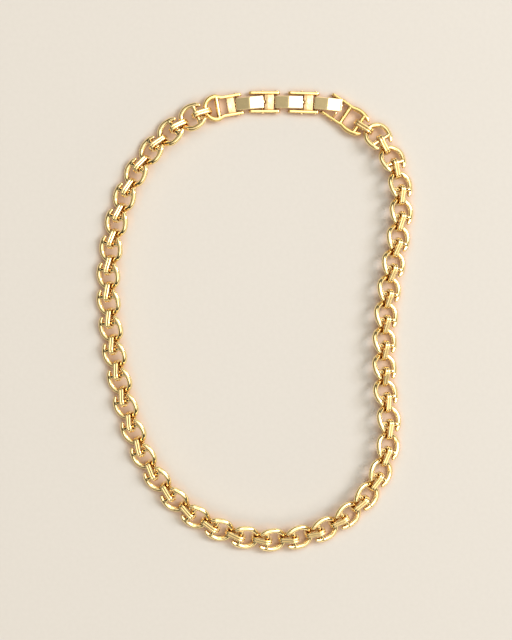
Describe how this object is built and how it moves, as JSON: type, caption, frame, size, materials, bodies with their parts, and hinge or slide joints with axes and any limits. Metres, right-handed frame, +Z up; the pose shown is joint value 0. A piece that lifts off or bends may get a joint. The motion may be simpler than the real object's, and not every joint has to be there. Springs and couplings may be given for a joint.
{
  "type": "chain necklace",
  "caption": "Polished gold-coloured chain necklace of leaning horned rings and long connector loops, closed by a ladder clasp with folding latches.",
  "frame": {"origin": "middle of the box that the necklace fills, on the surface that it lies on", "axes": "+Y from the front of the chain to the clasp, +X to the right seen from above, +Z up"},
  "size_m": [0.1134, 0.1652, 0.0068],
  "materials": {
    "chain_gold": "polished gold plate",
    "latch_gold": "mirror polished gold plate",
    "plate_gold": "polished gold plate with a fine rolled grain",
    "pin_gold": "polished gold plate",
    "clasp_gold": "polished gold plate"
  },
  "bodies": {
    "left_end": {"left_end_piece": "clasp_gold", "left_base_plate": "plate_gold", "left_hinge_pin": "pin_gold", "end_connector": "chain_gold"},
    "frame_2": {"frame_2_outer_rail": "clasp_gold", "frame_2_inner_rail": "clasp_gold", "frame_2_catch_pin": "pin_gold", "frame_2_hinge_pin": "pin_gold", "frame_2_base_plate": "plate_gold"},
    "frame_3": {"frame_3_outer_rail": "clasp_gold", "frame_3_inner_rail": "clasp_gold", "frame_3_catch_pin": "pin_gold", "frame_3_hinge_pin": "pin_gold", "frame_3_base_plate": "plate_gold"},
    "latch_1": {"latch_1": "latch_gold"},
    "latch_2": {"latch_2": "latch_gold"},
    "latch_3": {"latch_3": "latch_gold"},
    "right_end": {"right_end_piece": "clasp_gold", "right_catch_pin": "pin_gold"},
    "link_01": {"link_01": "chain_gold"},
    "link_02": {"link_02": "chain_gold"},
    "link_03": {"link_03": "chain_gold"},
    "link_04": {"link_04": "chain_gold"},
    "link_05": {"link_05": "chain_gold"},
    "link_06": {"link_06": "chain_gold"},
    "link_07": {"link_07": "chain_gold"},
    "link_08": {"link_08": "chain_gold"},
    "link_09": {"link_09": "chain_gold"},
    "link_10": {"link_10": "chain_gold"},
    "link_11": {"link_11": "chain_gold"},
    "link_12": {"link_12": "chain_gold"},
    "link_13": {"link_13": "chain_gold"},
    "link_14": {"link_14": "chain_gold"},
    "link_15": {"link_15": "chain_gold"},
    "link_16": {"link_16": "chain_gold"},
    "link_17": {"link_17": "chain_gold"},
    "link_18": {"link_18": "chain_gold"},
    "link_19": {"link_19": "chain_gold"},
    "link_20": {"link_20": "chain_gold"},
    "link_21": {"link_21": "chain_gold"},
    "link_22": {"link_22": "chain_gold"},
    "link_23": {"link_23": "chain_gold"},
    "link_24": {"link_24": "chain_gold"},
    "link_25": {"link_25": "chain_gold"},
    "link_26": {"link_26": "chain_gold"},
    "link_27": {"link_27": "chain_gold"},
    "link_28": {"link_28": "chain_gold"},
    "link_29": {"link_29": "chain_gold"},
    "link_30": {"link_30": "chain_gold"},
    "link_31": {"link_31": "chain_gold"},
    "link_32": {"link_32": "chain_gold"},
    "link_33": {"link_33": "chain_gold"},
    "link_34": {"link_34": "chain_gold"},
    "link_35": {"link_35": "chain_gold"},
    "link_36": {"link_36": "chain_gold"},
    "link_37": {"link_37": "chain_gold"},
    "link_38": {"link_38": "chain_gold"},
    "link_39": {"link_39": "chain_gold"}
  },
  "joints": [
    {"name": "bar_01_pivot", "type": "hinge", "parent": "link_01", "child": "left_end", "pos_m": [-0.02067, 0.07368, 0.00416], "axis": [-0.3933, 0.8994, -0.1908], "range_deg": [-60, 60]},
    {"name": "bar_02_pivot", "type": "hinge", "parent": "link_02", "child": "link_01", "pos_m": [-0.02879, 0.06875, 0.00407], "axis": [0.5356, -0.7568, 0.3746], "range_deg": [-60, 60]},
    {"name": "bar_03_pivot", "type": "hinge", "parent": "link_03", "child": "link_02", "pos_m": [-0.0359, 0.06233, 0.00396], "axis": [-0.6138, 0.611, -0.5], "range_deg": [-60, 60]},
    {"name": "bar_04_pivot", "type": "hinge", "parent": "link_04", "child": "link_03", "pos_m": [-0.04168, 0.05462, 0.00396], "axis": [0.7117, -0.4935, 0.5], "range_deg": [-60, 60]},
    {"name": "bar_05_pivot", "type": "hinge", "parent": "link_05", "child": "link_04", "pos_m": [-0.04604, 0.04603, 0.00396], "axis": [-0.7858, 0.3641, -0.5], "range_deg": [-60, 60]},
    {"name": "bar_06_pivot", "type": "hinge", "parent": "link_06", "child": "link_05", "pos_m": [-0.04917, 0.03698, 0.00396], "axis": [0.8257, -0.261, 0.5], "range_deg": [-60, 60]},
    {"name": "bar_07_pivot", "type": "hinge", "parent": "link_07", "child": "link_06", "pos_m": [-0.05127, 0.02768, 0.00396], "axis": [-0.8485, 0.1732, -0.5], "range_deg": [-60, 60]},
    {"name": "bar_08_pivot", "type": "hinge", "parent": "link_08", "child": "link_07", "pos_m": [-0.05239, 0.0182, 0.00396], "axis": [0.862, -0.0834, 0.5], "range_deg": [-60, 60]},
    {"name": "bar_09_pivot", "type": "hinge", "parent": "link_09", "child": "link_08", "pos_m": [-0.05252, 0.00867, 0.00396], "axis": [-0.866, -0.007, -0.5], "range_deg": [-60, 60]},
    {"name": "bar_10_pivot", "type": "hinge", "parent": "link_10", "child": "link_09", "pos_m": [-0.05185, -0.00081, 0.00396], "axis": [0.8628, 0.0752, 0.5], "range_deg": [-60, 60]},
    {"name": "bar_11_pivot", "type": "hinge", "parent": "link_11", "child": "link_10", "pos_m": [-0.05064, -0.01018, 0.00396], "axis": [-0.8577, -0.1195, -0.5], "range_deg": [-60, 60]},
    {"name": "bar_12_pivot", "type": "hinge", "parent": "link_12", "child": "link_11", "pos_m": [-0.04895, -0.01948, 0.00396], "axis": [0.8504, 0.164, 0.5], "range_deg": [-60, 60]},
    {"name": "bar_13_pivot", "type": "hinge", "parent": "link_13", "child": "link_12", "pos_m": [-0.04678, -0.02868, 0.00396], "axis": [-0.8408, -0.2075, -0.5], "range_deg": [-60, 60]},
    {"name": "bar_14_pivot", "type": "hinge", "parent": "link_14", "child": "link_13", "pos_m": [-0.04414, -0.03775, 0.00396], "axis": [0.829, 0.2505, 0.5], "range_deg": [-60, 60]},
    {"name": "bar_15_pivot", "type": "hinge", "parent": "link_15", "child": "link_14", "pos_m": [-0.04069, -0.04663, 0.00396], "axis": [-0.801, -0.3294, -0.5], "range_deg": [-60, 60]},
    {"name": "bar_16_pivot", "type": "hinge", "parent": "link_16", "child": "link_15", "pos_m": [-0.03595, -0.055, 0.00396], "axis": [0.7395, 0.4507, 0.5], "range_deg": [-60, 60]},
    {"name": "bar_17_pivot", "type": "hinge", "parent": "link_17", "child": "link_16", "pos_m": [-0.02995, -0.06251, 0.00396], "axis": [-0.6585, -0.5625, -0.5], "range_deg": [-60, 60]},
    {"name": "bar_18_pivot", "type": "hinge", "parent": "link_18", "child": "link_17", "pos_m": [-0.02274, -0.0689, 0.00396], "axis": [0.55, 0.6689, 0.5], "range_deg": [-60, 60]},
    {"name": "bar_19_pivot", "type": "hinge", "parent": "link_19", "child": "link_18", "pos_m": [-0.0144, -0.07379, 0.00396], "axis": [-0.4073, -0.7643, -0.5], "range_deg": [-60, 60]},
    {"name": "bar_20_pivot", "type": "hinge", "parent": "link_20", "child": "link_19", "pos_m": [-0.00527, -0.07694, 0.00396], "axis": [0.2483, 0.8297, 0.5], "range_deg": [-60, 60]},
    {"name": "bar_21_pivot", "type": "hinge", "parent": "link_20", "child": "link_21", "pos_m": [0.00431, -0.07823, 0.00396], "axis": [-0.0796, -0.8624, -0.5], "range_deg": [0, 60]},
    {"name": "bar_22_pivot", "type": "hinge", "parent": "link_21", "child": "link_22", "pos_m": [0.01396, -0.0776, 0.00396], "axis": [-0.092, 0.8611, 0.5], "range_deg": [-60, 25]},
    {"name": "bar_23_pivot", "type": "hinge", "parent": "link_22", "child": "link_23", "pos_m": [0.02329, -0.07507, 0.00396], "axis": [0.2619, -0.8255, -0.5], "range_deg": [-60, 60]},
    {"name": "bar_24_pivot", "type": "hinge", "parent": "link_23", "child": "link_24", "pos_m": [0.03182, -0.07044, 0.00396], "axis": [-0.4504, 0.7397, 0.5], "range_deg": [-60, 60]},
    {"name": "bar_25_pivot", "type": "hinge", "parent": "link_24", "child": "link_25", "pos_m": [0.03896, -0.06385, 0.00396], "axis": [0.6204, -0.6043, -0.5], "range_deg": [-60, 60]},
    {"name": "bar_26_pivot", "type": "hinge", "parent": "link_25", "child": "link_26", "pos_m": [0.04425, -0.05569, 0.00396], "axis": [-0.7509, 0.4315, 0.5], "range_deg": [-60, 60]},
    {"name": "bar_27_pivot", "type": "hinge", "parent": "link_26", "child": "link_27", "pos_m": [0.04734, -0.04648, 0.00396], "axis": [0.8344, -0.2317, -0.5], "range_deg": [-60, 60]},
    {"name": "bar_28_pivot", "type": "hinge", "parent": "link_27", "child": "link_28", "pos_m": [0.04805, -0.03679, 0.00396], "axis": [-0.8658, 0.0175, 0.5], "range_deg": [-60, 60]},
    {"name": "bar_29_pivot", "type": "hinge", "parent": "link_28", "child": "link_29", "pos_m": [0.04715, -0.02723, 0.00396], "axis": [0.8595, 0.1063, -0.5], "range_deg": [-60, 60]},
    {"name": "bar_30_pivot", "type": "hinge", "parent": "link_29", "child": "link_30", "pos_m": [0.04663, -0.01807, 0.00396], "axis": [-0.8653, -0.0359, 0.5], "range_deg": [-60, 60]},
    {"name": "bar_31_pivot", "type": "hinge", "parent": "link_30", "child": "link_31", "pos_m": [0.04657, -0.0088, 0.00396], "axis": [0.866, -0.0017, -0.5], "range_deg": [-60, 60]},
    {"name": "bar_32_pivot", "type": "hinge", "parent": "link_31", "child": "link_32", "pos_m": [0.04702, 0.00041, 0.00396], "axis": [-0.8644, 0.0525, 0.5], "range_deg": [-60, 60]},
    {"name": "bar_33_pivot", "type": "hinge", "parent": "link_32", "child": "link_33", "pos_m": [0.04799, 0.0096, 0.00396], "axis": [0.8603, -0.0993, -0.5], "range_deg": [-60, 60]},
    {"name": "bar_34_pivot", "type": "hinge", "parent": "link_33", "child": "link_34", "pos_m": [0.04946, 0.01872, 0.00396], "axis": [-0.8535, 0.1469, 0.5], "range_deg": [-60, 60]},
    {"name": "bar_35_pivot", "type": "hinge", "parent": "link_34", "child": "link_35", "pos_m": [0.05113, 0.0279, 0.00396], "axis": [0.8516, -0.1576, -0.5], "range_deg": [-60, 60]},
    {"name": "bar_36_pivot", "type": "hinge", "parent": "link_35", "child": "link_36", "pos_m": [0.05237, 0.0373, 0.00396], "axis": [-0.8601, 0.1016, 0.5], "range_deg": [-60, 60]},
    {"name": "bar_37_pivot", "type": "hinge", "parent": "link_36", "child": "link_37", "pos_m": [0.05228, 0.04691, 0.00396], "axis": [0.8652, 0.0367, -0.5], "range_deg": [-60, 60]},
    {"name": "bar_38_pivot", "type": "hinge", "parent": "link_37", "child": "link_38", "pos_m": [0.04979, 0.05629, 0.00407], "axis": [-0.886, -0.2732, 0.3746], "range_deg": [-60, 60]},
    {"name": "bar_39_pivot", "type": "hinge", "parent": "link_38", "child": "link_39", "pos_m": [0.04494, 0.0646, 0.00416], "axis": [0.8325, 0.5201, -0.1908], "range_deg": [-60, 60]},
    {"name": "bar_40_pivot", "type": "hinge", "parent": "link_39", "child": "right_end", "pos_m": [0.03721, 0.0705, 0.00241], "axis": [-0.5592, -0.829, 0], "range_deg": [0, 60]},
    {"name": "latch_1_hinge", "type": "hinge", "parent": "left_end", "child": "latch_1", "pos_m": [-0.00636, 0.07763, 0.00161], "axis": [0.1736, -0.9848, 0], "range_deg": [-20, 60]},
    {"name": "frame_2_catch", "type": "hinge", "parent": "latch_1", "child": "frame_2", "pos_m": [0.00271, 0.07843, 0.00161], "axis": [0, -1, 0], "range_deg": [-35, 20]},
    {"name": "latch_2_hinge", "type": "hinge", "parent": "frame_2", "child": "latch_2", "pos_m": [0.00766, 0.07843, 0.00161], "axis": [0, -1, 0], "range_deg": [-20, 60]},
    {"name": "frame_3_catch", "type": "hinge", "parent": "latch_2", "child": "frame_3", "pos_m": [0.01676, 0.07827, 0.00161], "axis": [-0.0349, -0.9994, 0], "range_deg": [0, 20]},
    {"name": "latch_3_hinge", "type": "hinge", "parent": "frame_3", "child": "latch_3", "pos_m": [0.0217, 0.07809, 0.00161], "axis": [-0.0349, -0.9994, 0], "range_deg": [0, 90]}
  ]
}
